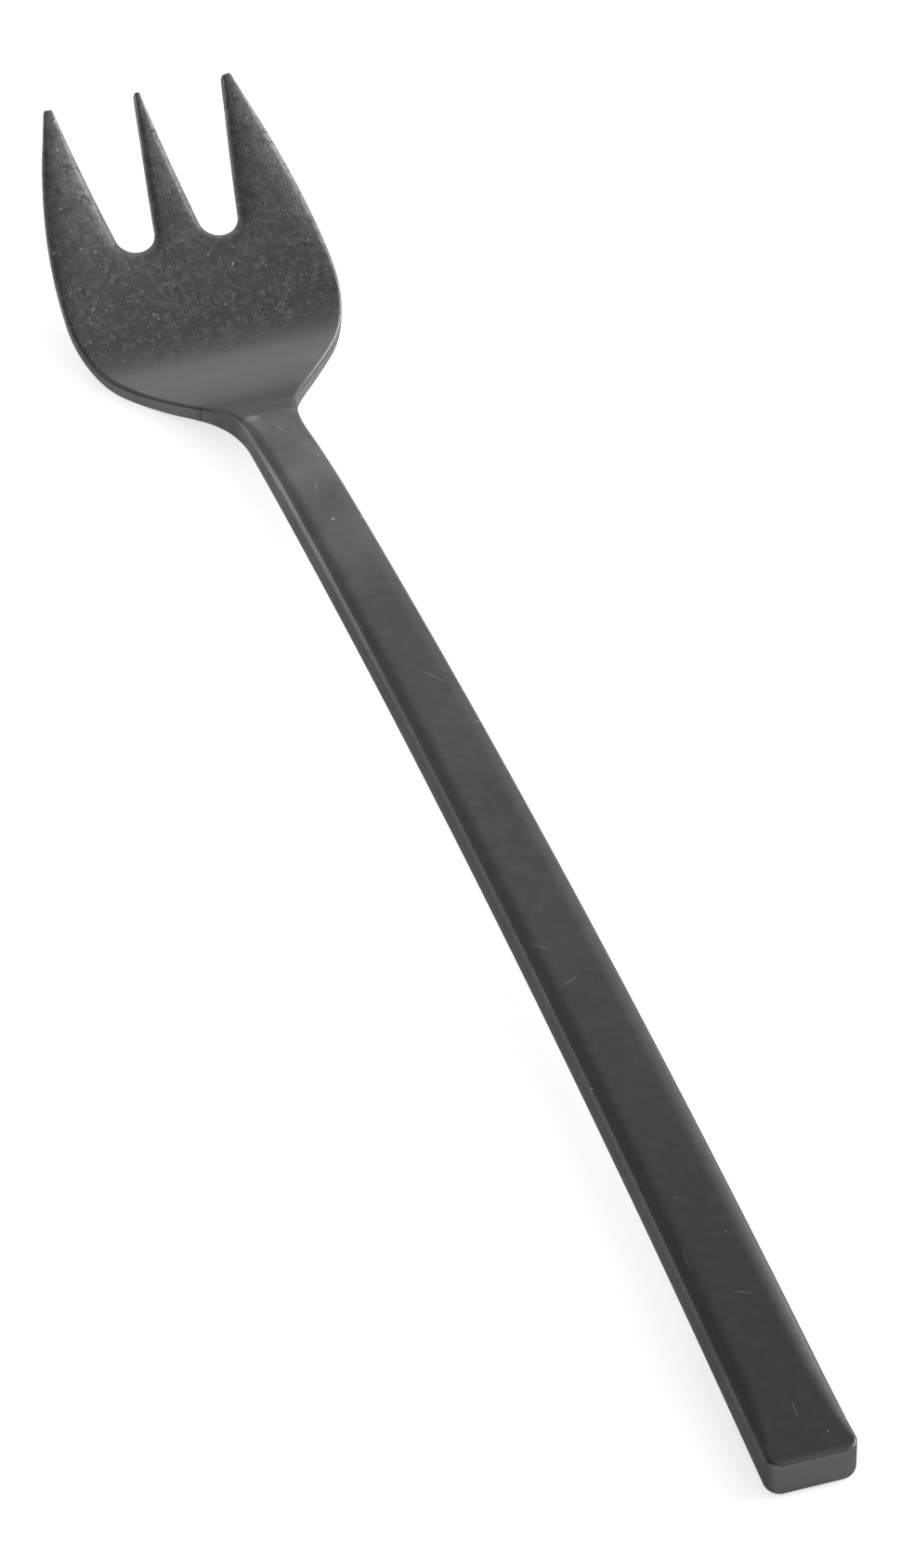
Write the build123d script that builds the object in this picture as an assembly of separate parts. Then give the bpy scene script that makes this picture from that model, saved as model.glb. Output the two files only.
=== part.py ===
from build123d import *
import os
from math import acos, asin, atan, atan2, cos, degrees, hypot, radians, sin, tan

# A three-tined dinner fork in tumbled black steel, lying on a table with its tines up. A pressed plate
# head carries a tang that is set in a solid, arched bar handle, and a weld ground flush closes the neck.
# X runs across the fork, Y from the handle's end to the tine tips and Z up. The origin lies on the table,
# under the middle of the fork. Lengths are in millimetres and angles in degrees.

# Lengths along the table
fork_length = 200.0
head_length = 41.85  # middle of the weld to the tine tips
weld_width = 1.6
neck_run = 18.0  # the stretch of the handle that bends down to the weld
heel_run = 3.8  # steepest part of the heel to the belly
belly_to_tip = 30.55
belly_run = 3.2  # belly to the start of the bowl

# Slopes of the upper side where these stretches meet
neck_slope = -3.2
bar_front_slope = -12.0
head_back_slope = -16.0
heel_slope = -23.0
bowl_slope = 16.6
tip_slope = 35.2

# Slopes of the underside, which is flatter where the neck thins into the plate
under_neck_slope = -3.2
under_weld_slope = -5.3
under_heel_slope = -17.0
under_heel_run = 4.8
under_bowl_slope = 17.2

# Thicknesses
handle_thickness = 4.1  # at the end
plate_thickness = 1.65  # at the belly
tip_thickness = 1.0

# Plan of the handle
handle_end_width = 9.0
handle_neck_width = 5.9
flare_run = 3.5  # narrowest part of the neck to the middle of the weld
end_corner_radius = 1.6
handle_edge_radius = 1.0

# Plan of the head: distance back from the tips, and the outline's lean from the fork's axis there
heel_back = 37.35
heel_lean = 34.3
shoulder_back = 30.05
shoulder_lean = 40.5
side_back = 22.85
side_lean = 7.6
widest_back = 20.95
tine_back = 3.35  # from here to the tips the outer tines' outer sides are straight
tine_lean = -20.2
head_edge_flat = 0.2  # narrow flat that breaks the plate's edges

# Slots between the tines, measured along the tines
slot_depth = 17.0
slot_radius = 2.08
slot_splay = 0.9  # lean of the slot's middle line away from the axis
middle_tip_width = 0.66
outer_tip_width = 0.88
tine_slope = 28.5  # lean of the plane that slots and tips are cut square to
tip_corner_flat = 0.2

# Tang and socket
tang_width = 3.2
tang_thickness = 1.5
tang_length = 12.0  # the part inside the handle
tang_root = 1.0  # the part inside the plate
socket_clearance = 0.05
socket_end_room = 0.5

# Room that a cut or a trimmed blank reaches past the surface it works on
overrun = 5.0

# Distance within which two places count as one
same_place = 1e-4

# Stations along Y
tip_y = fork_length / 2
end_y = -fork_length / 2
weld_y = tip_y - head_length
head_back_y = weld_y + weld_width / 2
bar_front_y = weld_y - weld_width / 2
neck_y = weld_y - neck_run
flare_y = weld_y - flare_run
belly_y = tip_y - belly_to_tip
heel_y = belly_y - heel_run
under_heel_y = belly_y - under_heel_run
bowl_y = belly_y + belly_run

# Sketch planes whose first axis runs along the fork: one seen from the side and one in plan
side_plane = Plane.YZ
plan_plane = Plane(origin=(0, 0, 0), x_dir=(0, 1, 0), z_dir=(0, 0, -1))


def height_at(start, station, slope):
    """The point at a station on the arc that leaves start and has the given slope there."""
    rise = (station - start[0]) * tan(radians(start[2] + slope) / 2)
    return station, start[1] + rise, slope


def slope_to(start, station, height):
    """The point on the arc that leaves start and passes a given height at a station."""
    chord = degrees(atan((height - start[1]) / (station - start[0])))
    return station, height, 2 * chord - start[2]


def run_of_arcs(start, knots):
    """The points of a smooth line of arcs from start through each station with its slope."""
    points = [start]
    for station, slope in knots:
        points.append(height_at(points[-1], station, slope))
    return points


def arcs_through(points):
    """One arc from each point to the next, each leaving its point at that point's slope."""
    arcs = []
    for start, end in zip(points, points[1:]):
        way = 1 if end[0] > start[0] else -1
        heading = (way * cos(radians(start[2])), way * sin(radians(start[2])))
        arcs.append(TangentArc(start[:2], end[:2], tangent=heading))
    return arcs


def carried_on(start, end, distance):
    """The end of the arc from start to end when it is carried on past its end."""
    share = (end[0] + distance - start[0]) / (end[0] - start[0])
    first = sin(radians(start[2]))
    last = sin(radians(end[2]))
    slope = degrees(asin(first + share * (last - first)))
    return height_at(start, end[0] + distance, slope)


def height_on(points, station):
    """The height of a line of arcs at a station."""
    for start, end in zip(points, points[1:]):
        if min(start[0], end[0]) <= station <= max(start[0], end[0]):
            return carried_on(start, end, station - end[0])[1]


def straight_on(point, distance):
    """A line that goes on from a point at its slope."""
    along = radians(point[2])
    end = (point[0] + distance * cos(along), point[1] + distance * sin(along))
    return Line(point[:2], end), end


def upper_side():
    """Points of the upper side from the belly, back to the handle's end and forward to the tips."""
    belly = (belly_y, plate_thickness, 0)
    back_knots = [
        (heel_y, heel_slope),
        (head_back_y, head_back_slope),
        (bar_front_y, bar_front_slope),
        (neck_y, neck_slope),
    ]
    back = run_of_arcs(belly, back_knots)
    back.append(slope_to(back[-1], end_y, handle_thickness))
    front = run_of_arcs(belly, [(bowl_y, bowl_slope), (tip_y, tip_slope)])
    return back, front


def underside(tip):
    """Points of the underside, which rests on the table at the belly and at the handle's rounded end."""
    belly = (belly_y, 0, 0)
    back_knots = [
        (under_heel_y, under_heel_slope),
        (weld_y, under_weld_slope),
        (neck_y, under_neck_slope),
    ]
    back = run_of_arcs(belly, back_knots)
    lean = radians(slope_to(back[-1], end_y, 0)[2])
    rounding = handle_edge_radius * (tan(lean) + 1 / cos(lean) - 1)
    back.append(slope_to(back[-1], end_y, -rounding))
    front = run_of_arcs(belly, [(bowl_y, under_bowl_slope)])
    front.append(slope_to(front[-1], tip_y, tip[1] - tip_thickness / cos(radians(tip[2]))))
    return back, front


def bent_slab():
    """The fork's side profile, drawn across the whole width of the head."""
    top_back, top_front = upper_side()
    low_back, low_front = underside(top_front[-1])
    top_front[-1] = carried_on(top_front[-2], top_front[-1], overrun)
    low_front[-1] = carried_on(low_front[-2], low_front[-1], overrun)
    edges = arcs_through(top_back) + arcs_through(top_front)
    edges += arcs_through(low_back) + arcs_through(low_front)
    edges.append(Line(top_front[-1][:2], low_front[-1][:2]))
    edges.append(Line(top_back[-1][:2], low_back[-1][:2]))
    profile = side_plane * make_face(edges)
    return extrude(profile, amount=fork_length / 4, both=True)


def head_outline():
    """Points of half the plan outline from the neck to where the outer tine's side runs straight."""
    lean = degrees(atan((handle_neck_width - handle_end_width) / 2 / (flare_y - end_y)))
    neck = (flare_y, handle_neck_width / 2, lean)
    knots = [
        (tip_y - heel_back, heel_lean),
        (tip_y - shoulder_back, shoulder_lean),
        (tip_y - side_back, side_lean),
        (tip_y - widest_back, 0),
        (tip_y - tine_back, tine_lean),
    ]
    return run_of_arcs(neck, knots)


def plan_prism():
    """The fork's plan outline, with the tines still joined and running on past the tips."""
    points = head_outline()
    end_corner = (end_y, handle_end_width / 2)
    past_tip, far_corner = straight_on(points[-1], tine_back + overrun)
    half = Curve() + [Line((end_y, 0), end_corner), Line(end_corner, points[0][:2])]
    half += arcs_through(points)
    half += [past_tip, Line(far_corner, (far_corner[0], 0))]
    outline = make_face(half + mirror(half, Plane.XZ))
    outline = fillet(outline.vertices().group_by(Axis.X)[0], end_corner_radius)
    return extrude(plan_plane * outline, amount=fork_length / 2, both=True)


def tip_plane():
    """The plane of the tines, at the middle of the tips' thickness, with its first axis along them."""
    top_front = upper_side()[1]
    lean = radians(tine_slope)
    along = Vector(0, cos(lean), sin(lean))
    out = Vector(0, -sin(lean), cos(lean))
    top = Vector(0, top_front[-1][0], top_front[-1][1])
    middle = top - out * (tip_thickness / 2)
    reach = (tip_thickness / 2 - head_edge_flat) * sin(lean)
    middle += along * ((tip_y - middle.Y - reach) / along.Y)
    return Plane(origin=middle, x_dir=along, z_dir=out)


def slot_cut(plane, side):
    """One slot between two tines: a narrow wedge whose walls leave its round bottom for the tips."""
    tine_side = head_outline()[-1]
    tip_half = tine_side[1] + tine_back * tan(radians(tine_lean))
    inner = middle_tip_width / 2
    outer = tip_half - outer_tip_width
    half_mouth = (outer - inner) / 2
    near = slot_radius - slot_depth
    spread = acos(slot_radius / hypot(half_mouth, near)) - atan2(-near, half_mouth)
    wall = (near - slot_radius * sin(spread), slot_radius * cos(spread))
    mouth = (overrun, wall[1] + (overrun - wall[0]) * tan(spread))
    low_wall = (wall[0], -wall[1])
    low_mouth = (mouth[0], -mouth[1])
    edges = [
        Line(wall, mouth),
        Line(mouth, low_mouth),
        Line(low_mouth, low_wall),
        ThreePointArc(low_wall, (near - slot_radius, 0), wall),
    ]
    place = plane * Pos(0, side * (inner + half_mouth)) * Rot(0, 0, side * slot_splay)
    return extrude(place * make_face(edges), amount=overrun, both=True)


def tang(clearance=0.0, end_room=0.0):
    """The tang, or with a clearance the socket that takes it."""
    top_back, top_front = upper_side()
    low_back = underside(top_front[-1])[0]
    height = (height_on(top_back, head_back_y) + height_on(low_back, head_back_y)) / 2
    middle = Vector(0, head_back_y, height)
    lean = radians((bar_front_slope + neck_slope) / 2)
    backward = Vector(0, -cos(lean), -sin(lean))
    plane = Plane(origin=middle - backward * tang_root, x_dir=(1, 0, 0), z_dir=backward)
    section = Rectangle(tang_width + 2 * clearance, tang_thickness + 2 * clearance)
    reach = tang_root + weld_width + tang_length + end_room
    return extrude(plane * section, amount=reach)


def rim(solid, cut_y):
    """Edges between a piece's walls and its upper side or underside, apart from those on its cut end."""
    round_faces = solid.faces().filter_by(GeomType.CYLINDER)
    skins = [face for face in round_faces if face.axis_of_rotation.is_parallel(Axis.X)]
    edges = [edge for face in skins for edge in face.edges()]
    outer = [edge for edge in edges if edges.count(edge) == 1]
    return [edge for edge in outer if abs(edge.center().Y - cut_y) > same_place]


def fork_head(blank):
    """The plate: trimmed tips, two slots, broken edges and the tang."""
    plane = tip_plane()
    head = split(blank, bisect_by=Plane(origin=(0, head_back_y, 0), z_dir=(0, 1, 0)), keep=Keep.TOP)
    head = split(head, bisect_by=Plane(plane.origin, z_dir=plane.x_dir), keep=Keep.BOTTOM)
    for side in (-1, 1):
        head -= slot_cut(plane, side)
    tips = [face for face in head.faces() if abs(plane.to_local_coords(face.center()).X) < same_place]
    sharp = rim(head, head_back_y)
    corners = [edge for face in tips for edge in face.edges() if edge not in sharp]
    head = chamfer(corners, tip_corner_flat)
    head = chamfer(rim(head, head_back_y), head_edge_flat)
    return head + tang()


def handle_bar(blank):
    """The bar: rounded long edges and end, with the socket in its front face."""
    bar = split(blank, bisect_by=Plane(origin=(0, bar_front_y, 0), z_dir=(0, 1, 0)), keep=Keep.BOTTOM)
    bar = fillet(rim(bar, bar_front_y), handle_edge_radius)
    return bar - tang(socket_clearance, socket_end_room)


def neck_weld(head, bar):
    """The weld metal, from the bar's rounded section to the plate's edged one, round the tang."""
    front = head.faces().filter_by(Axis.Y).sort_by_distance((0, head_back_y, 0))[0]
    back = bar.faces().filter_by(Axis.Y).sort_by_distance((0, bar_front_y, 0))[0]
    ends = [Face(front.outer_wire()), Face(back.outer_wire())]
    return loft(ends, ruled=True) - tang()


blank = bent_slab() & plan_prism()
head = fork_head(blank)
bar = handle_bar(blank)
weld = neck_weld(head, bar)

os.makedirs("parts", exist_ok=True)
export_step(head, "parts/fork_head.step")
export_step(bar, "parts/handle_bar.step")
export_step(weld, "parts/neck_weld.step")
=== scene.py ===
from math import acos, asin, atan, atan2, cos, degrees, hypot, pi, radians, sin, tan

import bmesh
import bpy
import numpy as np
from mathutils import Matrix, Vector
from mathutils.geometry import delaunay_2d_cdt


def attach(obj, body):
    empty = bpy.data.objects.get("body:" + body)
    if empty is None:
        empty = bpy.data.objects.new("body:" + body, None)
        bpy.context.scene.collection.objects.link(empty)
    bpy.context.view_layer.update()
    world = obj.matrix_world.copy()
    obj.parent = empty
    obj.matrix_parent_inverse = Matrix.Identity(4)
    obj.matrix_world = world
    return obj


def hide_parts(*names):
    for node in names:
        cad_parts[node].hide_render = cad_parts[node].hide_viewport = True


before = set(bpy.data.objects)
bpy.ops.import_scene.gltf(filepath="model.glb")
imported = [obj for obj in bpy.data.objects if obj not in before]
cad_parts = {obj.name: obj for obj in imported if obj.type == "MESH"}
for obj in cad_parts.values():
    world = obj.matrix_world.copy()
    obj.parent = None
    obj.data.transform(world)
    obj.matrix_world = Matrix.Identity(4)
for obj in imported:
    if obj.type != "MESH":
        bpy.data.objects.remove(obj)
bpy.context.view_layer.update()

# A dinner fork in tumbled black steel, lying on a white table. Its head, weld and handle are cut from one
# skin with softly rounded edges, which is worked out in millimetres from the sizes of the fork's solids.
# Blender's own lengths are metres.
MM = 0.001

# Camera: a long lens from the left of the handle's end, aimed close to the middle of the fork
view_elevation = radians(40.67)
view_heading = radians(18.98)
view_distance = 1074.52 * MM
view_target = Vector((-0.70, -0.92, 3.72)) * MM
image_height = 1688  # pixels
focal_length = 12000  # pixels
sensor = 36  # millimetres along the image's longer side
nearest_seen = 10 * MM

# Studio: the table's size in metres, and brightness relative to white
table_size = 6.0
table_glow = 0.7  # added for the lens
table_gleam = 0.5  # added for what the steel mirrors
studio_gloom = 0.35

# Lamps: a name, degrees round from the tines' end to the right, degrees up, metres from the fork, width and
# height in metres, and the brightness of the lamp's face
lamps = [
    ("back_panel", 24, 26, 0.55, 0.5, 0.45, 1.25),
    ("side_window", 88, 26, 1.0, 0.85, 0.95, 3.4),
    ("overhead", 140, 60, 1.2, 0.7, 0.7, 1.1),
    ("left_card", -22, 24, 0.45, 0.3, 0.35, 0.47),
    ("low_card", -50, 5, 0.5, 0.35, 0.06, 3.5),
    ("low_strip", 82, 9, 0.8, 0.7, 0.2, 8.0),
]

# Lengths along the fork, as in its solids
fork_length = 200.0
head_length = 41.85
weld_width = 1.6
neck_run = 18.0
belly_to_tip = 30.55
belly_run = 3.2

# Slopes of the upper side and of the underside, in degrees. The heel's and the bowl's are given at distances
# behind and in front of the belly: they join the same ends as the solid's arcs, with the heel steepest close
# to the weld and the bend into the bowl a little sharper.
neck_slope = -3.2
bar_front_slope = -12.0
head_back_slope = -16.0
heel_slopes = [(1.85, -11.0), (4.95, -18.0), (7.95, -25.6)]
bowl_slopes = [(2.15, 5.0), (4.55, 18.5)]
tip_slope = 35.2
under_neck_slope = -3.2
under_weld_slope = -5.3
under_heel_slope = -17.0
under_heel_run = 4.8
under_bowl_slope = 17.2

# Thicknesses, and the round along the solid handle's edges
handle_thickness = 4.1
handle_edge_radius = 1.0
plate_thickness = 1.65
tip_thickness = 1.0

# Plan of handle, plate and tines: each back value is a distance behind the tips, and leans are in degrees
handle_end_width = 9.0
handle_neck_width = 5.9
end_corner_radius = 1.6
flare_run = 3.5
heel_back = 37.35
heel_lean = 34.3
shoulder_back = 30.05
shoulder_lean = 40.5
side_back = 22.85
side_lean = 7.6
widest_back = 20.95
tine_back = 3.35
tine_lean = -20.2
slot_depth = 17.0
slot_radius = 2.08
slot_splay = 0.9
middle_tip_width = 0.66
outer_tip_width = 0.88
tine_slope = 28.5
tip_edge_flat = 0.2
outer_tip_round = 0.32
middle_tip_round = 0.27

# Softness of the edges at stations along the fork: the station, how far the rounding reaches in from the
# outline, and how far it reaches down or up the wall. It has less room to reach in near the tips.
upper_edge = [
    (-99.8, 0.2, 0.16), (-97.0, 1.2, 0.6), (-90.0, 2.1, 0.8), (54.0, 2.0, 0.8), (60.0, 0.4, 0.35),
    (62.0, 0.25, 0.2), (71.0, 0.25, 0.2), (78.0, 0.5, 0.38), (86.0, 0.85, 0.52), (100.0, 0.85, 0.52),
]
lower_edge = [
    (54.0, 1.0, 1.0), (60.0, 0.5, 0.5), (63.0, 0.3, 0.3), (71.0, 0.3, 0.25), (96.0, 0.55, 0.35),
    (99.0, 0.1, 0.12),
]
tip_reach = 0.2
tip_reach_growth = 0.11

# The handle's upper rounding falls slowly from the top and breaks a little where it meets the wall. Between
# these stations it turns into the head's even one.
full_rounding_end = 54.0
even_rounding_start = 60.0

# Levels on the first rings of rounding up from the wall: painted shade on the heel's rim, painted highlight
# on the bar
painted_edge_name = "edge_shade_and_glint"
ring_shade_and_glint = (1.0, 0.88)

# Crown of the tines, which tumbling leaves a little rounder from edge to edge than flat. It grows between two
# stations, and across a slot the middle tine's values turn into the outer tine's.
crown_tilt = 17.0  # degrees at the edges
middle_crown_tilt = 6.0
crown_reach = 2.6
crown_level = 0.4  # the share of its rise that stands above the flat side
crown_start = 78.0
crown_full = 86.0
middle_tine_growth = 0.136  # half width gained per millimetre behind the tips
outer_tine_growth = 0.268
middle_tine_side = slot_radius + 1.3
outer_tine_side = slot_radius + 3.3

# Hollow across the bowl and the tines: how much higher their sides stand than their middle, how far out that
# is, and the stations where it grows
hollow_rise = 0.3
hollow_half_width = 12.0
hollow_start = 69.0
hollow_full = 80.0

# Fineness of the skin
bar_step = 1.0
edge_step = 0.3
grid_step = 0.6
round_steps = 8
settling_rounds = 10
joined_within = 1e-4
plan_tolerance = 1e-6
inside_loop = 1  # the kind of cover that keeps only what lies within its loop

# Finish of the head at stations along it: the heel is smooth and painted lighter as a highlight, the tumbled
# speckle sets in ahead of the belly, the tines are lighter from use, and a painted dark line of shade follows
# the heel's rim. A hairline crosses the left edge.
heel_highlight_start = 60.5
heel_highlight_full = 65.0
tumbling_start = 71.0
tumbling_full = 75.5
heel_speckle = 0.05
tine_use_start = 76.0
tine_use_full = 92.0
rim_shade_start = 59.5
rim_shade_full = 62.0
rim_shade_fade = 73.0
rim_shade_end = 80.0
rim_shade_share = 0.9
rim_shade_level_start = 0.75  # of the edge mask's level
rim_shade_level_full = 0.95
hairline_y = 62.65
hairline_half = 0.14
hairline_core = 0.04
hairline_share = 0.6
hairline_x = -5.0

# Marks on the head. Tumbling also leaves marks finer than 0.1 mm, which the render can't show, so blotches,
# strokes and flecks are drawn a few times as coarse as most of the real ones.
drift_size = 3.5
blotch_size = 0.7
blotch_light = 0.48
stroke_size = 1.2
stroke_line = 0.03  # of the range of its noise
stroke_stretch = 0.8
stroke_kept = 0.6
fleck_spacing = 0.7
fleck_size = 0.36
fleck_share = 0.25
head_dents = 0.03
heel_roughness = 0.52
tumbled_roughness = 0.45

# Finish of the bar at stations along it: its neck is painted lighter, standing in for the light that falls
# off towards the end, its end face is worn, and painted highlights run along its upper edges, fading out
# towards the weld. One painted highlight sits on the crease at the weld.
neck_painted_light_start = 18.0
neck_painted_light_full = 57.0
end_wear_start = -99.2
end_wear_full = -99.8
edge_glint_start = 5.0
edge_glint_full = 45.0
glint_behind = 0.06
glint_ahead = 0.55
glint_fade_start = 48.0
glint_fade_full = 57.0
crease_glint_spot = (-1.7, 57.0, 5.2)
crease_glint_reach = 1.0
crease_glint_core = 0.3
crease_glint_share = 0.5
glint_level_start = 0.8  # of the edge mask's level

# Marks on the bar, with the scratches on its broad sides only. A satin grain of about 0.05 mm and scratches
# as fine as that don't show in the render, so both are drawn about six times as coarse.
cloud_size = 6.0
mottle_size = 1.2
mottle_start = 0.45
mottle_share = 0.15
satin_grain = 0.35
satin_depth = 0.004
nick_spacing = 3.0
nick_size = 0.45
nick_share = 0.8
scratch_spacing = 8.0
scratch_length = 3.0
scratch_width = 0.25
scratch_share = 0.5
scratch_bow = 0.3
scratch_light = 0.6
broad_side = 2.9
broad_core = 2.4
bar_roughness = (0.38, 0.44)

# Marks on the weld, whose grain is drawn coarser too
weld_cloud_size = 1.5
weld_grain = 0.3
weld_depth = 0.006
weld_roughness = (0.4, 0.48)

# Levels of a noise from 0 to 1: its middle, where soft clouds begin and are full, and its low and high parts
noise_middle = 0.5
cloud_start = 0.35
cloud_full = 0.65
cloud_share = 0.6
noise_low = 0.3
noise_high = 0.7
speck_core = 0.4  # of a speck's reach

# Stations
tip_y = fork_length / 2
end_y = -fork_length / 2
weld_y = tip_y - head_length
head_back_y = weld_y + weld_width / 2
bar_front_y = weld_y - weld_width / 2
neck_y = weld_y - neck_run
flare_y = weld_y - flare_run
belly_y = tip_y - belly_to_tip
bowl_y = belly_y + belly_run


def height_at(start, station, slope):
    """The point at a station on the arc that leaves start and has the given slope there."""
    rise = (station - start[0]) * tan(radians(start[2] + slope) / 2)
    return station, start[1] + rise, slope


def slope_to(start, station, height):
    """The point on the arc that leaves start and passes a given height at a station."""
    chord = degrees(atan((height - start[1]) / (station - start[0])))
    return station, height, 2 * chord - start[2]


def run_of_arcs(start, knots):
    """The points of a smooth line of arcs from start through each station with its slope."""
    points = [start]
    for station, slope in knots:
        points.append(height_at(points[-1], station, slope))
    return points


def on_arcs(points, station):
    """The height of a line of arcs at a station. Its last arc is carried on past its end."""
    last = len(points) - 2
    for k in range(last + 1):
        start, end = points[k], points[k + 1]
        if station <= end[0] or k == last:
            share = (station - start[0]) / (end[0] - start[0])
            first_sine = sin(radians(start[2]))
            last_sine = sin(radians(end[2]))
            slope = degrees(asin(first_sine + share * (last_sine - first_sine)))
            return height_at(start, station, slope)[1]


def upper_side():
    """The line of the upper side from the handle's end to the tips."""
    belly = (belly_y, plate_thickness, 0)
    back = run_of_arcs(belly, [
        *[(belly_y - behind, slope) for behind, slope in heel_slopes],
        (head_back_y, head_back_slope),
        (bar_front_y, bar_front_slope),
        (neck_y, neck_slope),
    ])
    back.append(slope_to(back[-1], end_y, handle_thickness))
    bowl = [(belly_y + ahead, slope) for ahead, slope in bowl_slopes]
    front = run_of_arcs(belly, bowl + [(tip_y, tip_slope)])
    return back[::-1] + front[1:]


def underside(tip):
    """The line of the underside, which rests on the table at the belly and at the handle's rounded end."""
    belly = (belly_y, 0, 0)
    back = run_of_arcs(belly, [
        (belly_y - under_heel_run, under_heel_slope),
        (weld_y, under_weld_slope),
        (neck_y, under_neck_slope),
    ])
    lean = radians(slope_to(back[-1], end_y, 0)[2])
    rounding = handle_edge_radius * (tan(lean) + 1 / cos(lean) - 1)
    back.append(slope_to(back[-1], end_y, -rounding))
    front = run_of_arcs(belly, [(bowl_y, under_bowl_slope)])
    front.append(slope_to(front[-1], tip_y, tip[1] - tip_thickness / cos(radians(tip[2]))))
    return back[::-1] + front[1:]


def side_line():
    """The line of the right side in plan, from the handle's end to past the outer tine's tip."""
    lean = degrees(atan((handle_neck_width - handle_end_width) / 2 / (flare_y - end_y)))
    return run_of_arcs((end_y, handle_end_width / 2, lean), [
        (flare_y, lean),
        (tip_y - heel_back, heel_lean),
        (tip_y - shoulder_back, shoulder_lean),
        (tip_y - side_back, side_lean),
        (tip_y - widest_back, 0),
        (tip_y - tine_back, tine_lean),
        (tip_y + tine_back, tine_lean),
    ])


top_line = upper_side()
low_line = underside(top_line[-1])
plan_line = side_line()


def tine_middle():
    """Station and height of the tips' middle, on the plane that slots and tips are cut square to."""
    lean = radians(tine_slope)
    station = tip_y + tip_thickness / 2 * sin(lean)
    height = top_line[-1][1] - tip_thickness / 2 * cos(lean)
    reach = (tip_thickness / 2 - tip_edge_flat) * sin(lean)
    ahead = (tip_y - reach - station) / cos(lean)
    return station + ahead * cos(lean), height + ahead * sin(lean)


def station_on_top(along):
    """The station on the upper side of a cut that lies so far along the tines' plane."""
    lean = radians(tine_slope)
    middle_y, middle_z = tine_middle()
    station = middle_y + along * cos(lean)
    for _ in range(settling_rounds):
        off = (on_arcs(top_line, station) - middle_z - along * sin(lean)) / cos(lean)
        station = middle_y + along * cos(lean) - off * sin(lean)
    return station


def steps_between(start, end, step):
    """Even values from start to end, both included, about a step apart."""
    return np.linspace(start, end, max(2, round(abs(end - start) / step) + 1))


def slot_walls():
    """The right slot from its outer wall at the tips, round its floor, to its inner wall at the tips."""
    tip_half = on_arcs(plan_line, tip_y)
    inner = middle_tip_width / 2
    half_mouth = (tip_half - outer_tip_width - inner) / 2
    near = slot_radius - slot_depth
    spread = acos(slot_radius / hypot(half_mouth, near)) - atan2(-near, half_mouth)
    wall_u = near - slot_radius * sin(spread)
    wall_v = slot_radius * cos(spread)
    splay = radians(slot_splay)
    local = [(u, wall_v + (u - wall_u) * tan(spread)) for u in steps_between(0, wall_u, edge_step)]
    turns = steps_between(pi / 2 + spread, 3 * pi / 2 - spread, edge_step / slot_radius)
    floor = [(near + slot_radius * cos(turn), slot_radius * sin(turn)) for turn in turns]
    path = local + floor[1:-1] + [(u, -v) for u, v in local[::-1]]
    walls = []
    for u, v in path:
        along = u * cos(splay) - v * sin(splay)
        across = inner + half_mouth + u * sin(splay) + v * cos(splay)
        walls.append((across, station_on_top(along), tine_slope))
    return walls


def rounded_corner(before, corner, after, radius, leans):
    """An arc in place of a corner of the outline, along which the wall's lean goes from one to another."""
    corner = Vector(corner[:2])
    way_in = (corner - Vector(before[:2])).normalized()
    way_out = (Vector(after[:2]) - corner).normalized()
    turn = atan2(way_in.x * way_out.y - way_in.y * way_out.x, way_in.dot(way_out))
    start = corner - way_in * (radius * tan(abs(turn) / 2))
    side = Vector((-way_in.y, way_in.x)) * (1 if turn > 0 else -1)
    centre = start + side * radius
    points = []
    for share in np.linspace(0, 1, 2 * round_steps + 1):
        arm = Matrix.Rotation(turn * share, 2) @ (start - centre)
        points.append((*(centre + arm), leans[0] + (leans[1] - leans[0]) * share))
    return points


def clear_of(points, corner, radius):
    """The points of a run that are farther from a corner than its rounding reaches."""
    return [p for p in points if hypot(p[0] - corner[0], p[1] - corner[1]) > 2 * radius]


def half_outline():
    """The right half of the outline on the upper side, from the end's middle to the middle tine's tip: the
    place in plan and the lean of the wall below it."""
    tips_at = station_on_top(0)
    corner = (handle_end_width / 2, end_y)
    outer = (on_arcs(plan_line, tips_at), tips_at, 0.0)
    walls = slot_walls()
    inner = walls[0]
    middle = walls[-1]
    along_bar = steps_between(end_y, flare_y, bar_step)[:-1]
    along_head = steps_between(flare_y, tips_at, edge_step)
    side = [(on_arcs(plan_line, y), y, 0.0) for y in [*along_bar, *along_head]]
    side = clear_of(clear_of(side, corner, end_corner_radius), outer, outer_tip_round)
    end = [(x, end_y, 0.0) for x in steps_between(0, corner[0], edge_step)]
    end = clear_of(end, corner, end_corner_radius)
    run = clear_of(clear_of(walls, inner, outer_tip_round), middle, middle_tip_round)
    points = end + rounded_corner(end[0], corner, side[0], end_corner_radius, (0.0, 0.0))
    points += side
    points += rounded_corner(side[-1], outer, inner, outer_tip_round, (0.0, tine_slope))
    points += rounded_corner(outer, inner, run[0], outer_tip_round, (tine_slope, tine_slope))
    points += run
    points += rounded_corner(run[-1], middle, (0, middle[1]), middle_tip_round, (tine_slope, tine_slope))
    points.append((0.0, middle[1], tine_slope))
    return points


def softness(table, station):
    """How far an edge's rounding reaches in, and how far down, at a station."""
    stations, reaches, drops = zip(*table)
    room = tip_reach + tip_reach_growth * max(0, tip_y - station)
    return min(np.interp(station, stations, reaches), room), np.interp(station, stations, drops)


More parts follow.
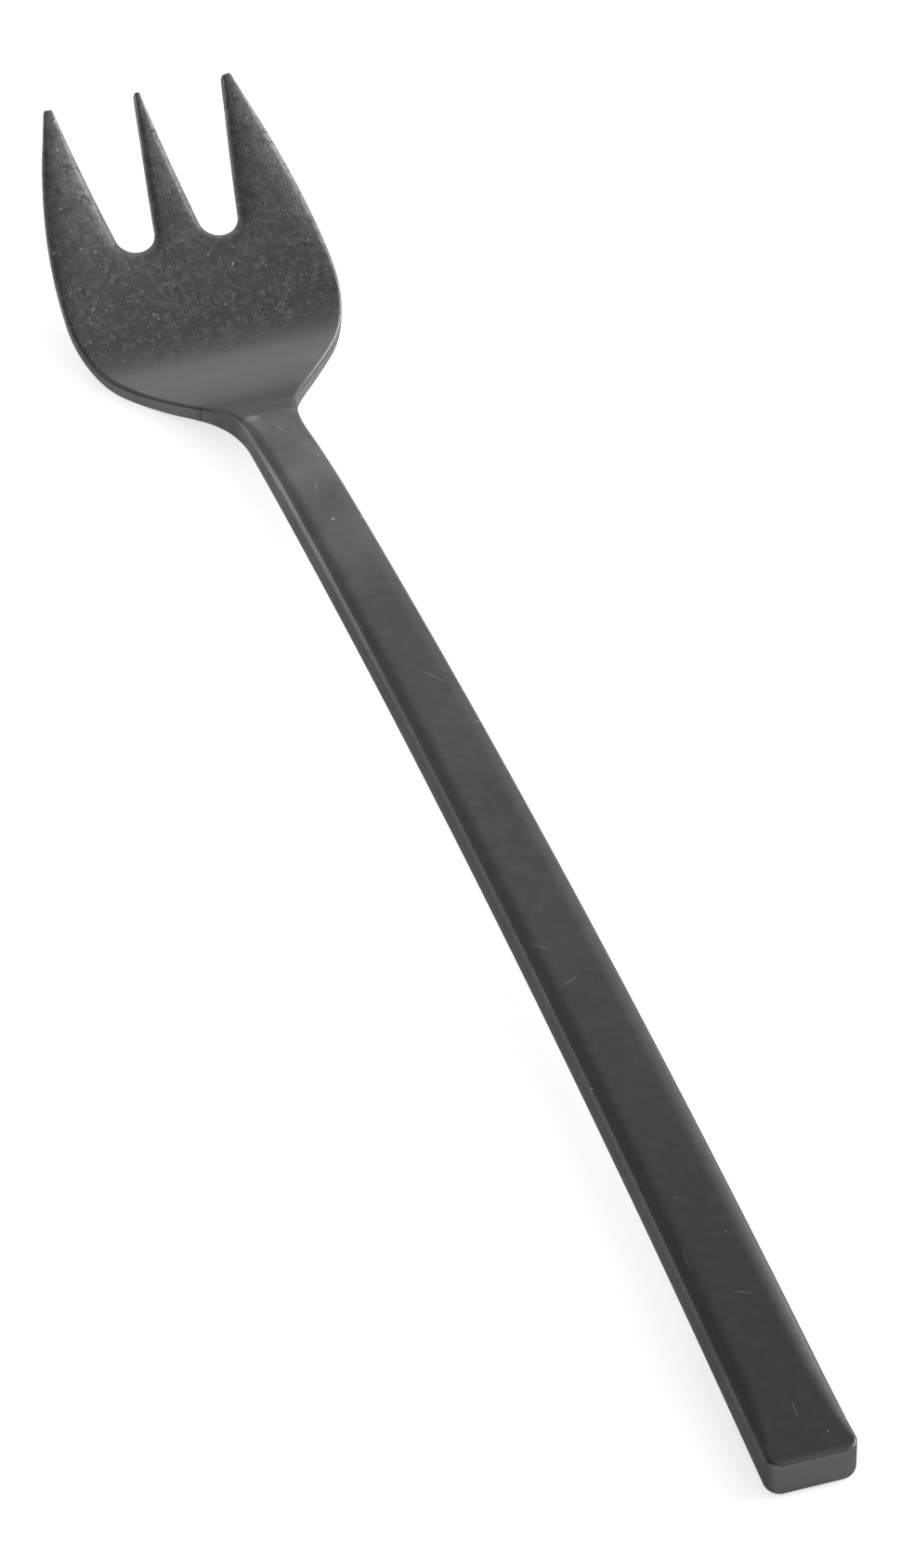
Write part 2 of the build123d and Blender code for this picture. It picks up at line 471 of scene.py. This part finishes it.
def crown(x, y, off):
    """How much higher the upper side is than a flat one, at a place so far off the outline: the tines are
    raised along their middle and fall away towards their edges."""
    ahead = max(0, tip_y - y)
    middle_room = middle_tip_width / 2 + middle_tine_growth * ahead
    outer_room = outer_tip_width / 2 + outer_tine_growth * ahead
    room = np.interp(abs(x), (middle_tine_side, outer_tine_side), (middle_room, outer_room))
    reach = min(crown_reach, room)
    full_tilt = np.interp(abs(x), (slot_radius, outer_tine_side), (middle_crown_tilt, crown_tilt))
    tilt = np.interp(y, (crown_start, crown_full), (0, full_tilt))
    return reach * tan(radians(tilt)) / 2 * (crown_level - max(0, 1 - off / reach) ** 2)


def under_wall(point):
    """The place in plan where the wall below a point of the outline meets the underside."""
    x, y, lean = point
    depth = 0.0
    for _ in range(settling_rounds):
        depth = on_arcs(top_line, y) - on_arcs(low_line, y + depth * tan(radians(lean)))
    return x, y + depth * tan(radians(lean)), lean


def rounding_rings(points, line, table, way):
    """Rings of points over the rounded edge between the wall and the upper side (way 1) or the underside (way
    -1). The first ring ends the wall and the last one lies on the side itself."""
    plan = np.array([p[:2] for p in points])
    along = np.roll(plan, -1, axis=0) - np.roll(plan, 1, axis=0)
    length = np.hypot(along[:, 0], along[:, 1])
    inward = np.stack([-along[:, 1], along[:, 0]], axis=1) / length[:, None]
    rings = []
    for turn in np.linspace(0, pi / 2, round_steps + 1):
        share = turn / (pi / 2)
        ring = []
        for (x, y, lean), (in_x, in_y) in zip(points, inward):
            reach, drop = softness(table, y)
            full = np.interp(y, (full_rounding_end, even_rounding_start), (1, 0)) if way > 0 else 0.0
            in_by = reach * (1 - cos(turn) + full * (share - 1 + cos(turn)))
            fall = 1 - sin(turn) + full * ((1 - share) ** 3 - 1 + sin(turn))
            place_x = x + in_x * in_by
            place_y = y + in_y * in_by
            raised = crown(place_x, place_y, in_by) if way > 0 else 0.0
            sunk = drop * fall - raised
            height = on_arcs(line, place_y) - way * sunk
            ring.append((place_x, place_y + way * sunk * tan(radians(lean)), height))
        rings.append(ring)
    return rings


def hollow(x, y):
    """How much the plate is raised at a place by its slight hollow from side to side."""
    rise = np.interp(y, (hollow_start, hollow_full), (0, hollow_rise))
    return rise * (x / hollow_half_width) ** 2


def off_outline(points, outline):
    """How far each point is from an outline, in plan."""
    start = np.array([p[:2] for p in outline])
    step = np.roll(start, -1, axis=0) - start
    arm = points[:, None, :] - start[None, :, :]
    share = np.clip((arm * step).sum(axis=2) / (step ** 2).sum(axis=1), 0, 1)
    return np.linalg.norm(arm - share[:, :, None] * step, axis=2).min(axis=1)


def grid_within(border):
    """The points of a grid of triangles that lie within a border in plan, and clear of it."""
    onward = np.roll(border, -1, axis=0)
    low, high = border.min(axis=0), border.max(axis=0)
    rows = []
    for k, y in enumerate(np.arange(low[1], high[1], grid_step * sin(pi / 3))):
        crosses = (border[:, 1] > y) != (onward[:, 1] > y)
        start, end = border[crosses], onward[crosses]
        share = (y - start[:, 1]) / (end[:, 1] - start[:, 1])
        meets = np.sort(start[:, 0] + share * (end[:, 0] - start[:, 0]))
        across = np.arange(low[0], high[0], grid_step) + (k % 2) * grid_step / 2
        across = across[np.searchsorted(meets, across) % 2 == 1]
        clear = np.hypot(across[:, None] - border[:, 0], y - border[:, 1]).min(axis=1) > grid_step / 2
        rows += [(x, y) for x in across[clear]]
    return rows


def covered(ring, line, outline):
    """Points and triangles that cover the side within a ring, and meet the ring's own points. The upper side,
    which is the one with an outline, has its crown."""
    border = np.array([p[:2] for p in ring])
    places = [Vector(p) for p in [*border, *grid_within(border)]]
    loop = list(range(len(border)))
    plan, _, triangles, sources, *_ = delaunay_2d_cdt(
        places, [], [loop], inside_loop, plan_tolerance)
    plan = np.array(plan)
    height = np.array([on_arcs(line, y) for y in plan[:, 1]])
    if outline:
        tines = plan[:, 1] > crown_start
        off = off_outline(plan[tines], outline)
        height[tines] += [crown(x, y, gap) for (x, y), gap in zip(plan[tines], off)]
    cover = [(x, y, z) for (x, y), z in zip(plan, height)]
    for k, source in enumerate(sources):
        if source and source[0] < len(ring):
            cover[k] = ring[source[0]]
    return cover, triangles


def fork_skin():
    """The skin of the whole fork, as one closed mesh."""
    half = half_outline()
    outline = half + [(-x, y, lean) for x, y, lean in half[-2:0:-1]]
    under = [under_wall(p) for p in outline]
    top_rings = rounding_rings(outline, top_line, upper_edge, 1)
    low_rings = rounding_rings(under, low_line, lower_edge, -1)
    rings = low_rings[::-1] + top_rings
    count = len(outline)
    points = [p for ring in rings for p in ring]
    faces = []
    for k in range(len(rings) - 1):
        for i in range(count):
            j = (i + 1) % count
            faces.append((k * count + i, k * count + j, (k + 1) * count + j, (k + 1) * count + i))
    for ring, line, edge in ((top_rings[-1], top_line, outline), (low_rings[-1], low_line, None)):
        cover, triangles = covered(ring, line, edge)
        start = len(points)
        points += cover
        faces += [tuple(start + i for i in face) for face in triangles]
    mesh = bpy.data.meshes.new("fork_skin")
    mesh.from_pydata([Vector((x, y, z + hollow(x, y))) * MM for x, y, z in points], [], faces)
    whole = bmesh.new()
    whole.from_mesh(mesh)
    bpy.data.meshes.remove(mesh)
    # A mask on the first rings up from the wall, which the steels paint with shade and highlights
    painted_edge = whole.verts.layers.float.new(painted_edge_name)
    whole.verts.ensure_lookup_table()
    for k, marked in enumerate(ring_shade_and_glint):
        first = (len(low_rings) + k) * count
        for vert in whole.verts[first:first + count]:
            vert[painted_edge] = marked
    bmesh.ops.remove_doubles(whole, verts=whole.verts, dist=joined_within * MM)
    # The rings meet in the lower corners of the outer tips, which leaves small gaps
    open_edges = [edge for edge in whole.edges if edge.is_boundary]
    bmesh.ops.holes_fill(whole, edges=open_edges, sides=0)
    bmesh.ops.recalc_face_normals(whole, faces=whole.faces)
    return whole


def trimmed(whole, station, way):
    """Cuts a mesh square at a station, takes away what lies that way of it and closes the cut."""
    geometry = whole.verts[:] + whole.edges[:] + whole.faces[:]
    bmesh.ops.bisect_plane(whole, geom=geometry, plane_co=(0, station * MM, 0), plane_no=(0, way, 0),
                           clear_outer=True, dist=joined_within * MM)
    rim = [edge for edge in whole.edges if edge.is_boundary]
    cap = bmesh.ops.edgeloop_fill(whole, edges=rim)
    for face in whole.faces:
        face.smooth = True
    for face in cap["faces"]:
        face.smooth = False
    for edge in rim:
        edge.smooth = False


def skin_piece(name, whole, node, steel):
    """Makes an object of a finished skin, in place of its solid."""
    mesh = bpy.data.meshes.new(name)
    whole.to_mesh(mesh)
    whole.free()
    mesh.materials.append(steel)
    piece = bpy.data.objects.new(name, mesh)
    bpy.context.collection.objects.link(piece)
    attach(piece, "root")
    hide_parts(node)


def plate_weld_and_bar():
    """The head's plate, the ground weld behind it and the handle's bar, cut from one skin."""
    whole = fork_skin()
    plate = whole.copy()
    trimmed(plate, head_back_y, -1)
    skin_piece("head_plate", plate, "fork_head", tumbled_head_steel())
    bar = whole.copy()
    trimmed(bar, bar_front_y, 1)
    skin_piece("arched_bar", bar, "handle_bar", satin_bar_steel())
    trimmed(whole, bar_front_y, -1)
    trimmed(whole, head_back_y, 1)
    skin_piece("flush_weld", whole, "neck_weld", ground_weld_steel())


def linear(code):
    """A linear RGBA colour from an sRGB hex code."""
    parts = [int(code[i:i + 2], 16) / 255 for i in (1, 3, 5)]
    return [p / 12.92 if p <= 0.04045 else ((p + 0.055) / 1.055) ** 2.4 for p in parts] + [1.0]


def add(tree, kind, inputs=None, **settings):
    """A new node with its settings, and with a link or a value on each of the inputs that are given."""
    node = tree.nodes.new(kind)
    for name, value in settings.items():
        setattr(node, name, value)
    for name, value in (inputs or {}).items():
        socket = node.inputs[name]
        if isinstance(value, bpy.types.NodeSocket):
            tree.links.new(value, socket)
        else:
            socket.default_value = value
    return node


def new_material(name):
    """An empty material and its node tree."""
    material = bpy.data.materials.new(name)
    material.use_nodes = True
    material.node_tree.nodes.clear()
    return material, material.node_tree


def millimetres(tree):
    """The place on the piece, in millimetres."""
    place = add(tree, "ShaderNodeTexCoord").outputs["Object"]
    scaled = add(tree, "ShaderNodeVectorMath", {0: place, "Scale": 1 / MM}, operation="SCALE")
    return scaled.outputs["Vector"]


def specks(tree, place, spacing, size, share):
    """Small round specks: one in a share of the cells of a random grid, each up to a given size."""
    cells = add(tree, "ShaderNodeTexVoronoi", {"Vector": place, "Scale": 1 / spacing})
    chance = add(tree, "ShaderNodeSeparateColor", {0: cells.outputs["Color"]})
    reach = size / 2 / spacing
    limit = add(tree, "ShaderNodeMapRange", {0: chance.outputs[0], 1: 1 - share, 4: reach})
    core = add(tree, "ShaderNodeMath", {0: limit.outputs[0], 1: speck_core}, operation="MULTIPLY")
    mask = add(tree, "ShaderNodeMapRange", {
        0: cells.outputs["Distance"], 1: limit.outputs[0], 2: core.outputs[0]})
    return mask.outputs[0]


def scratches(tree, place, spacing, length, width, share):
    """Short bowed scratches that lie any way round, one in a share of the cells of a random grid."""
    cells = add(tree, "ShaderNodeTexVoronoi", {"Vector": place, "Scale": 1 / spacing},
                voronoi_dimensions="2D")
    chance = add(tree, "ShaderNodeSeparateColor", {0: cells.outputs["Color"]})
    local = add(tree, "ShaderNodeVectorMath", {0: place, 1: cells.outputs["Position"]}, operation="SUBTRACT")
    turn = add(tree, "ShaderNodeMath", {0: chance.outputs[1], 1: 2 * pi}, operation="MULTIPLY")
    turned = add(tree, "ShaderNodeVectorRotate", {"Vector": local.outputs[0], "Angle": turn.outputs[0]},
                 rotation_type="Z_AXIS")
    axes = add(tree, "ShaderNodeSeparateXYZ", {0: turned.outputs[0]})
    square = add(tree, "ShaderNodeMath", {0: axes.outputs[0], 1: axes.outputs[0]}, operation="MULTIPLY")
    bowed = add(tree, "ShaderNodeMath", {0: square.outputs[0], 1: scratch_bow / length, 2: axes.outputs[1]},
                operation="MULTIPLY_ADD")
    aside = add(tree, "ShaderNodeMath", {0: bowed.outputs[0]}, operation="ABSOLUTE")
    along = add(tree, "ShaderNodeMath", {0: axes.outputs[0]}, operation="ABSOLUTE")
    thin = add(tree, "ShaderNodeMapRange", {0: aside.outputs[0], 1: width / 2, 2: 0.0})
    short = add(tree, "ShaderNodeMapRange", {0: along.outputs[0], 1: length / 2, 2: 0.0})
    line = add(tree, "ShaderNodeMath", {0: thin.outputs[0], 1: short.outputs[0]}, operation="MULTIPLY")
    chosen = add(tree, "ShaderNodeMath", {0: chance.outputs[2], 1: 1 - share}, operation="GREATER_THAN")
    mask = add(tree, "ShaderNodeMath", {0: line.outputs[0], 1: chosen.outputs[0]}, operation="MULTIPLY")
    return mask.outputs[0]


def tinted(tree, colour, code, share):
    """A colour with another one laid over it where the share is more than nothing."""
    mix = add(tree, "ShaderNodeMix", {0: share, 6: colour, 7: linear(code)}, data_type="RGBA")
    return mix.outputs[2]


def steel_surface(tree, colour, edge_code, roughness, height, depth):
    """Metal with its colour, that of its glancing reflections and its roughness, dented to a depth by a
    height of 0 to 1."""
    dents = add(tree, "ShaderNodeBump", {"Height": height, "Distance": depth * MM})
    steel = add(tree, "ShaderNodeBsdfPrincipled", {
        "Base Color": colour, "Specular Tint": linear(edge_code), "Roughness": roughness, "Metallic": 1.0,
        "Normal": dents.outputs[0]})
    add(tree, "ShaderNodeOutputMaterial", {0: steel.outputs[0]})


def strokes(tree, place, size, thickness):
    """Short curved strokes: parts of the level lines of a noise, chosen by a second noise."""
    field = add(tree, "ShaderNodeTexNoise", {
        "Vector": place, "Scale": 1 / size, "Detail": 2.0, "Distortion": 0.8})
    off = add(tree, "ShaderNodeMath", {0: field.outputs[0], 1: noise_middle}, operation="SUBTRACT")
    near = add(tree, "ShaderNodeMath", {0: off.outputs[0]}, operation="ABSOLUTE")
    line = add(tree, "ShaderNodeMapRange", {0: near.outputs[0], 1: thickness, 2: 0.0})
    choice = add(tree, "ShaderNodeTexNoise", {"Vector": place, "Scale": stroke_stretch / size, "Detail": 1.0})
    kept = add(tree, "ShaderNodeMapRange", {0: choice.outputs[0], 1: noise_middle, 2: stroke_kept})
    mask = add(tree, "ShaderNodeMath", {0: line.outputs[0], 1: kept.outputs[0]}, operation="MULTIPLY")
    return mask.outputs[0]


def tumbled_head_steel():
    """Black-coated stainless plate, tumbled with stone: a dark grey metal, marbled with light and dark
    blotches, short dark strokes and small bright flecks, which fade out on the smooth heel, and a little
    lighter towards the tips, where it is used most. The heel is painted lighter as a highlight, and has a
    painted dark line of shade along its rim and a hairline across its left edge."""
    material, tree = new_material("tumbled_black_steel_plate")
    place = millimetres(tree)
    axes = add(tree, "ShaderNodeSeparateXYZ", {0: place})
    across = axes.outputs[0]
    along = axes.outputs[1]
    tumbled = add(tree, "ShaderNodeMapRange", {
        0: along, 1: tumbling_start, 2: tumbling_full, 3: heel_speckle}).outputs[0]
    smooth = add(tree, "ShaderNodeMapRange", {0: along, 1: heel_highlight_start, 2: heel_highlight_full})
    used = add(tree, "ShaderNodeMapRange", {0: along, 1: tine_use_start, 2: tine_use_full})
    drifts = add(tree, "ShaderNodeTexNoise", {"Vector": place, "Scale": 1 / drift_size, "Detail": 3.0})
    blotches = add(tree, "ShaderNodeTexNoise", {
        "Vector": place, "Scale": 1 / blotch_size, "Detail": 3.0, "Roughness": 0.55, "Distortion": 0.6})
    marks = strokes(tree, place, stroke_size, stroke_line)
    flecks = specks(tree, place, fleck_spacing, fleck_size, fleck_share)
    drift = add(tree, "ShaderNodeMapRange", {
        0: drifts.outputs[0], 1: cloud_start, 2: cloud_full, 4: cloud_share})
    light = add(tree, "ShaderNodeMapRange", {0: blotches.outputs[0], 1: blotch_light, 2: noise_high})
    dark = add(tree, "ShaderNodeMapRange", {0: blotches.outputs[0], 1: noise_middle, 2: noise_low})
    layers = [
        ("#595959", 1.0),
        ("#6d6d6d", used.outputs[0]),
        ("#565656", drift.outputs[0]),
        ("#717171", light.outputs[0]),
        ("#585858", dark.outputs[0]),
        ("#464646", marks),
        ("#a4a4a4", flecks),
    ]
    # Painted highlight: the smooth heel is lighter where it catches the light from behind the fork
    colour = tinted(tree, linear("#5a5a5a"), "#747474", smooth.outputs[0])
    for code, share in layers:
        shown = add(tree, "ShaderNodeMath", {0: share, 1: tumbled}, operation="MULTIPLY")
        colour = tinted(tree, colour, code, shown.outputs[0])
    ahead = add(tree, "ShaderNodeMath", {0: along, 1: hairline_y}, operation="SUBTRACT")
    aside = add(tree, "ShaderNodeMath", {0: ahead.outputs[0]}, operation="ABSOLUTE")
    hairline = add(tree, "ShaderNodeMapRange", {
        0: aside.outputs[0], 1: hairline_half, 2: hairline_core, 4: hairline_share})
    on_edge = add(tree, "ShaderNodeMath", {0: across, 1: hairline_x}, operation="LESS_THAN")
    seam = add(tree, "ShaderNodeMath", {0: hairline.outputs[0], 1: on_edge.outputs[0]}, operation="MULTIPLY")
    colour = tinted(tree, colour, "#2c2c2c", seam.outputs[0])
    edge = add(tree, "ShaderNodeAttribute", attribute_name=painted_edge_name)
    # Painted shade: a dark line on the first rings of the rounding along the heel's rim
    back = add(tree, "ShaderNodeMapRange", {0: along, 1: rim_shade_start, 2: rim_shade_full, 4: rim_shade_share})
    front = add(tree, "ShaderNodeMapRange", {0: along, 1: rim_shade_end, 2: rim_shade_fade, 4: back.outputs[0]})
    rim = add(tree, "ShaderNodeMapRange", {
        0: edge.outputs["Fac"], 1: rim_shade_level_start, 2: rim_shade_level_full, 4: front.outputs[0]})
    colour = tinted(tree, colour, "#2e2e2e", rim.outputs[0])
    roughness = add(tree, "ShaderNodeMapRange", {0: tumbled, 3: heel_roughness, 4: tumbled_roughness})
    raised = add(tree, "ShaderNodeMath", {0: blotches.outputs[0], 1: marks}, operation="SUBTRACT")
    height = add(tree, "ShaderNodeMath", {0: raised.outputs[0], 1: tumbled}, operation="MULTIPLY")
    steel_surface(tree, colour, "#ffffff", roughness.outputs[0], height.outputs[0], head_dents)
    return material


def satin_bar_steel():
    """Black-coated stainless bar, tumbled to a soft satin: an even dark grey metal, painted a little lighter
    towards the neck to stand in for the light there, with a painted highlight at one end of the weld, faint
    clouds, a few bowed scratches, here and there a bright nick, and painted highlights along the upper edges
    near the neck."""
    material, tree = new_material("satin_black_steel_bar")
    taper = (handle_end_width - handle_neck_width) / 2 / (flare_y - end_y)
    place = millimetres(tree)
    axes = add(tree, "ShaderNodeSeparateXYZ", {0: place})
    across = axes.outputs[0]
    along = axes.outputs[1]
    # Painted light: lighter towards the neck, for the light falling off along the handle
    neck_painted_light = add(tree, "ShaderNodeMapRange", {0: along, 1: neck_painted_light_start, 2: neck_painted_light_full})
    clouds = add(tree, "ShaderNodeTexNoise", {"Vector": place, "Scale": 1 / cloud_size, "Detail": 4.0})
    grain = add(tree, "ShaderNodeTexNoise", {"Vector": place, "Scale": 1 / satin_grain, "Detail": 3.0})
    nicks = specks(tree, place, nick_spacing, nick_size, nick_share)
    mottle = add(tree, "ShaderNodeTexNoise", {"Vector": place, "Scale": 1 / mottle_size, "Detail": 3.0})
    lines = scratches(tree, place, scratch_spacing, scratch_length, scratch_width, scratch_share)
    patch = add(tree, "ShaderNodeMapRange", {
        0: clouds.outputs[0], 1: cloud_start, 2: cloud_full, 4: cloud_share})
    spots = add(tree, "ShaderNodeMapRange", {
        0: mottle.outputs[0], 1: mottle_start, 2: noise_high, 4: mottle_share})
    aside = add(tree, "ShaderNodeMath", {0: across}, operation="ABSOLUTE")
    spread = add(tree, "ShaderNodeMath", {0: along, 1: taper, 2: aside.outputs[0]}, operation="MULTIPLY_ADD")
    broad = add(tree, "ShaderNodeMapRange", {
        0: spread.outputs[0], 1: broad_side, 2: broad_core, 4: scratch_light})
    faint = add(tree, "ShaderNodeMath", {0: lines, 1: broad.outputs[0]}, operation="MULTIPLY")
    # Painted highlight on the crease at the weld, where the ridge catches the light
    crease_distance = add(tree, "ShaderNodeVectorMath", {0: place, 1: crease_glint_spot}, operation="DISTANCE")
    crease_glint = add(tree, "ShaderNodeMapRange", {
        0: crease_distance.outputs["Value"], 1: crease_glint_reach, 2: crease_glint_core, 4: crease_glint_share})
    marked = add(tree, "ShaderNodeMapRange", {0: along, 1: end_wear_start, 2: end_wear_full})
    edge = add(tree, "ShaderNodeAttribute", attribute_name=painted_edge_name)
    # Painted highlights along the upper edges, stronger towards the neck and fading out at the weld
    glint_along = add(tree, "ShaderNodeMapRange", {
        0: along, 1: edge_glint_start, 2: edge_glint_full, 3: glint_behind, 4: glint_ahead})
    glint_open = add(tree, "ShaderNodeMapRange", {0: along, 1: glint_fade_full, 2: glint_fade_start})
    line = add(tree, "ShaderNodeMapRange", {
        0: edge.outputs["Fac"], 1: glint_level_start, 4: glint_along.outputs[0]})
    edge_glint = add(tree, "ShaderNodeMath", {0: line.outputs[0], 1: glint_open.outputs[0]}, operation="MULTIPLY")
    # Painted light among these layers: the lighter neck, the highlight on the weld's crease and the edge
    # highlights
    layers = [
        ("#696969", neck_painted_light.outputs[0]),
        ("#4b4b4b", patch.outputs[0]),
        ("#666666", spots.outputs[0]),
        ("#a0a0a0", nicks),
        ("#8a8a8a", faint.outputs[0]),
        ("#8e8e8e", crease_glint.outputs[0]),
        ("#606060", marked.outputs[0]),
        ("#9c9c9c", edge_glint.outputs[0]),
    ]
    colour = linear("#4f4f4f")
    for code, share in layers:
        colour = tinted(tree, colour, code, share)
    dull, duller = bar_roughness
    roughness = add(tree, "ShaderNodeMapRange", {
        0: clouds.outputs[0], 1: noise_low, 2: noise_high, 3: dull, 4: duller})
    steel_surface(tree, colour, "#d2d2d2", roughness.outputs[0], grain.outputs[0], satin_depth)
    return material


def ground_weld_steel():
    """Weld metal ground flush and tumbled with the rest: a dull band of steel with faint clouds, a little
    rougher than the bar."""
    material, tree = new_material("ground_black_steel_weld")
    place = millimetres(tree)
    clouds = add(tree, "ShaderNodeTexNoise", {"Vector": place, "Scale": 1 / weld_cloud_size, "Detail": 4.0})
    grain = add(tree, "ShaderNodeTexNoise", {"Vector": place, "Scale": 1 / weld_grain, "Detail": 3.0})
    patch = add(tree, "ShaderNodeMapRange", {
        0: clouds.outputs[0], 1: cloud_start, 2: cloud_full, 4: cloud_share})
    colour = tinted(tree, linear("#5c5c5c"), "#565656", patch.outputs[0])
    dull, duller = weld_roughness
    roughness = add(tree, "ShaderNodeMapRange", {
        0: grain.outputs[0], 1: noise_low, 2: noise_high, 3: dull, 4: duller})
    steel_surface(tree, colour, "#d2d2d2", roughness.outputs[0], grain.outputs[0], weld_depth)
    return material


def white_table():
    """A pale matt table that shows white to the lens and in the steel, and keeps the fork's shadow."""
    material, tree = new_material("matt_white_table")
    paint = add(tree, "ShaderNodeBsdfDiffuse", {"Color": linear("#d4d4d4")})
    path = add(tree, "ShaderNodeLightPath")
    mirrored = add(tree, "ShaderNodeMath", {
        0: path.outputs["Is Glossy Ray"], 1: path.outputs["Is Transmission Ray"]}, operation="MAXIMUM")
    gleam = add(tree, "ShaderNodeMath", {0: mirrored.outputs[0], 1: table_gleam}, operation="MULTIPLY")
    level = add(tree, "ShaderNodeMath", {
        0: path.outputs["Is Camera Ray"], 1: table_glow, 2: gleam.outputs[0]}, operation="MULTIPLY_ADD")
    glow = add(tree, "ShaderNodeEmission", {"Strength": level.outputs[0]})
    both = add(tree, "ShaderNodeAddShader", {0: paint.outputs[0], 1: glow.outputs[0]})
    add(tree, "ShaderNodeOutputMaterial", {0: both.outputs[0]})
    bpy.ops.mesh.primitive_plane_add(size=table_size)
    table = bpy.context.object
    table.name = "table"
    table.data.materials.append(material)


def dim_studio():
    """A studio that is dim all round, and white where the lens looks past the table."""
    world = bpy.data.worlds.new("dim_studio")
    world.use_nodes = True
    tree = world.node_tree
    tree.nodes.clear()
    path = add(tree, "ShaderNodeLightPath")
    level = add(tree, "ShaderNodeMapRange", {0: path.outputs["Is Camera Ray"], 3: studio_gloom, 4: 1.0})
    light = add(tree, "ShaderNodeBackground", {"Strength": level.outputs[0]})
    add(tree, "ShaderNodeOutputWorld", {0: light.outputs[0]})
    bpy.context.scene.world = world


def direction(azimuth, elevation):
    """The way from the fork to a place so far round to the right from its tines' end, and so high."""
    return Vector((sin(azimuth) * cos(elevation), cos(azimuth) * cos(elevation), sin(elevation)))


def facing(place, back):
    """The stand of a lamp or camera at a place, with its back turned that way."""
    return Matrix.Translation(place) @ back.to_track_quat("Z", "Y").to_matrix().to_4x4()


def softbox(name, azimuth, elevation, distance, width, height, brightness):
    """A soft lamp that faces the fork. Its brightness is that of its face, where white is 1."""
    lamp = bpy.data.lights.new(name, "AREA")
    lamp.shape = "RECTANGLE"
    lamp.size = width
    lamp.size_y = height
    lamp.energy = brightness * pi * width * height
    box = bpy.data.objects.new(name, lamp)
    away = direction(radians(azimuth), radians(elevation))
    box.matrix_world = facing(away * distance, away)
    bpy.context.collection.objects.link(box)


def studio_lights():
    """A panel behind the fork, a window and a low strip at its right, two cards at its left and a soft lamp
    overhead."""
    for lamp in lamps:
        softbox(*lamp)


def lens():
    """The camera, where the photograph was taken from."""
    camera = bpy.data.cameras.new("camera")
    camera.sensor_width = sensor
    camera.lens = focal_length * sensor / image_height
    camera.clip_start = nearest_seen
    eye = bpy.data.objects.new("camera", camera)
    back = direction(view_heading + pi, view_elevation)
    eye.matrix_world = facing(view_target + back * view_distance, back)
    bpy.context.collection.objects.link(eye)
    bpy.context.scene.camera = eye


plate_weld_and_bar()
white_table()
dim_studio()
studio_lights()
lens()
bpy.context.scene.view_settings.view_transform = "Standard"
